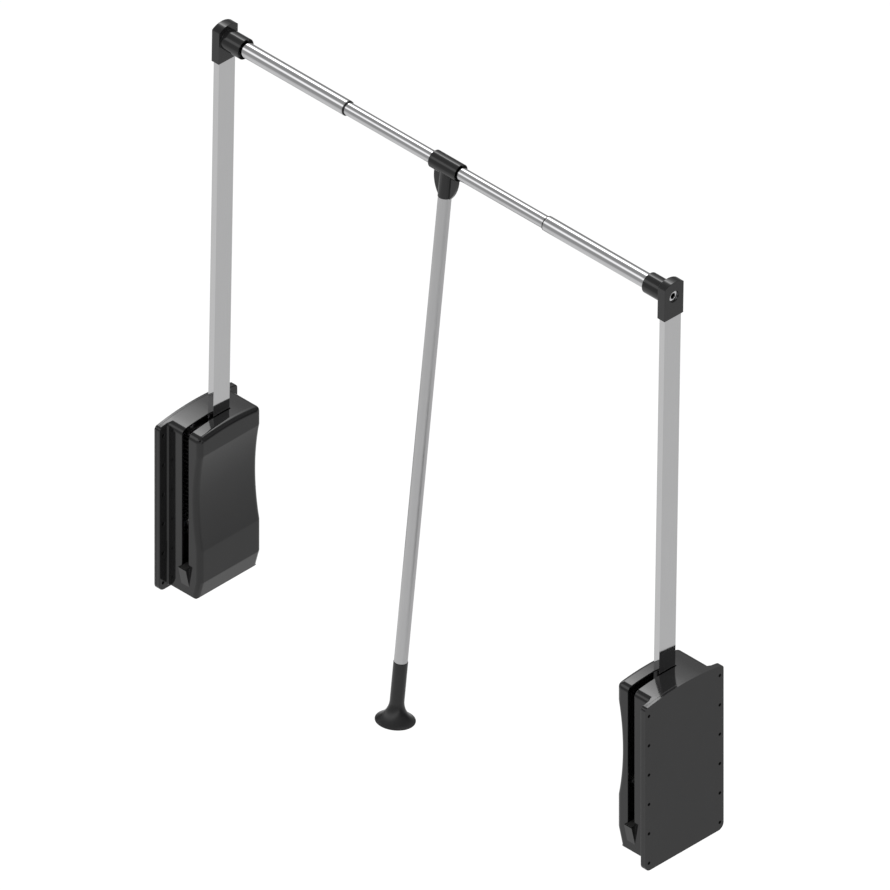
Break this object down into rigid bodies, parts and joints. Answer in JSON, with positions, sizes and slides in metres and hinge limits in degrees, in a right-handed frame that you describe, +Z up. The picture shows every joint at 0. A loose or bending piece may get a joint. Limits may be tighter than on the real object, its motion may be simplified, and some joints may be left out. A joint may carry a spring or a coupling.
{
  "type": "pull down closet rod",
  "caption": "Pull down closet rod: sprung arms in wall casings swing a telescopic hanging rail down, by a pull rod that hangs from its middle.",
  "frame": {"origin": "middle of the screw hole pattern, on the outer face of the left wall plate", "axes": "+X across the wardrobe to the right hand plate, -Y to the front, +Z up"},
  "size_m": [0.938, 0.1865, 0.9133],
  "materials": {
    "casing_plastic": "gloss",
    "cap_plastic": "gloss",
    "black_steel": "satin",
    "arm_aluminium": "bright anodised",
    "rail_chrome": "polished",
    "rod_steel": "satin",
    "piston_chrome": "polished",
    "bolt_steel": "plated",
    "zinc_steel": "zinc plated",
    "spring_steel": "black coated",
    "rubber": "matte",
    "nylon": "natural"
  },
  "bodies": {
    "left_housing": {"left_back_plate": "casing_plastic", "left_cover": "casing_plastic", "left_bracket": "zinc_steel", "left_frame_screws": "zinc_steel", "left_axle": "zinc_steel", "left_axle_ring": "spring_steel", "left_axle_spacer": "zinc_steel", "left_lift_spring": "spring_steel", "left_spring_anchor": "zinc_steel", "left_damper_cylinder": "black_steel", "left_damper_nut": "zinc_steel", "left_rest_buffer": "rubber", "left_lower_buffer": "rubber"},
    "left_arm": {"left_pivot_bush": "nylon", "left_arm_foot": "black_steel", "left_crank": "zinc_steel", "left_crank_sleeve": "nylon", "left_foot_screws": "zinc_steel", "left_arm_tube": "arm_aluminium", "left_arm_cap": "cap_plastic", "left_rail_bolt": "bolt_steel", "left_rail_plug": "zinc_steel", "left_outer_tube": "rail_chrome", "left_tube_bush": "cap_plastic"},
    "left_spring_yoke": {"left_yoke": "zinc_steel", "left_damper_rod": "piston_chrome"},
    "right_housing": {"right_back_plate": "casing_plastic", "right_cover": "casing_plastic", "right_bracket": "zinc_steel", "right_frame_screws": "zinc_steel", "right_axle": "zinc_steel", "right_axle_ring": "spring_steel", "right_axle_spacer": "zinc_steel", "right_lift_spring": "spring_steel", "right_spring_anchor": "zinc_steel", "right_damper_cylinder": "black_steel", "right_damper_nut": "zinc_steel", "right_rest_buffer": "rubber", "right_lower_buffer": "rubber"},
    "right_arm": {"right_pivot_bush": "nylon", "right_arm_foot": "black_steel", "right_crank": "zinc_steel", "right_crank_sleeve": "nylon", "right_foot_screws": "zinc_steel", "right_arm_tube": "arm_aluminium", "right_arm_cap": "cap_plastic", "right_rail_bolt": "bolt_steel", "right_rail_plug": "zinc_steel", "right_outer_tube": "rail_chrome", "right_tube_bush": "cap_plastic"},
    "right_spring_yoke": {"right_yoke": "zinc_steel", "right_damper_rod": "piston_chrome"},
    "middle_rail": {"inner_tube": "rail_chrome"},
    "hanging_rod": {"rod_tee": "cap_plastic", "pull_rod": "rod_steel", "hand_grip": "cap_plastic"}
  },
  "joints": [
    {"name": "lift_swing", "type": "hinge", "parent": "left_housing", "child": "left_arm", "pos_m": [0.043, 0.0009, -0.062], "axis": [1, 0, 0], "range_deg": [0, 94.5], "stiffness_Nm_per_rad": 10, "springref_deg": -57.3},
    {"name": "left_yoke_slide", "type": "slide", "parent": "left_housing", "child": "left_spring_yoke", "axis": [0, 0, -1], "range_m": [0, 0.0471], "deforming": ["left_lift_spring"]},
    {"name": "width_adjust", "type": "slide", "parent": "left_housing", "child": "right_housing", "axis": [1, 0, 0], "range_m": [-0.108, 0.212]},
    {"name": "right_lift_swing", "type": "hinge", "parent": "right_housing", "child": "right_arm", "pos_m": [0.895, 0.0009, -0.062], "axis": [1, 0, 0], "range_deg": [0, 94.5], "stiffness_Nm_per_rad": 10, "springref_deg": -57.3},
    {"name": "right_yoke_slide", "type": "slide", "parent": "right_housing", "child": "right_spring_yoke", "axis": [0, 0, -1], "range_m": [0, 0.0471], "deforming": ["right_lift_spring"]},
    {"name": "middle_rail_slide", "type": "slide", "parent": "left_arm", "child": "middle_rail", "axis": [1, 0, 0], "range_m": [-0.054, 0.106]},
    {"name": "rod_swing", "type": "hinge", "parent": "middle_rail", "child": "hanging_rod", "pos_m": [0.469, 0.0166, 0.75585], "axis": [1, 0, 0], "continuous": true}
  ],
  "couplings": [
    {"joint": "right_lift_swing", "follows": "lift_swing", "ratio": 1},
    {"joint": "left_yoke_slide", "follows": "lift_swing", "m_per_rad": 0.028494},
    {"joint": "right_yoke_slide", "follows": "lift_swing", "m_per_rad": 0.028494},
    {"joint": "middle_rail_slide", "follows": "width_adjust", "ratio": 0.5}
  ]
}
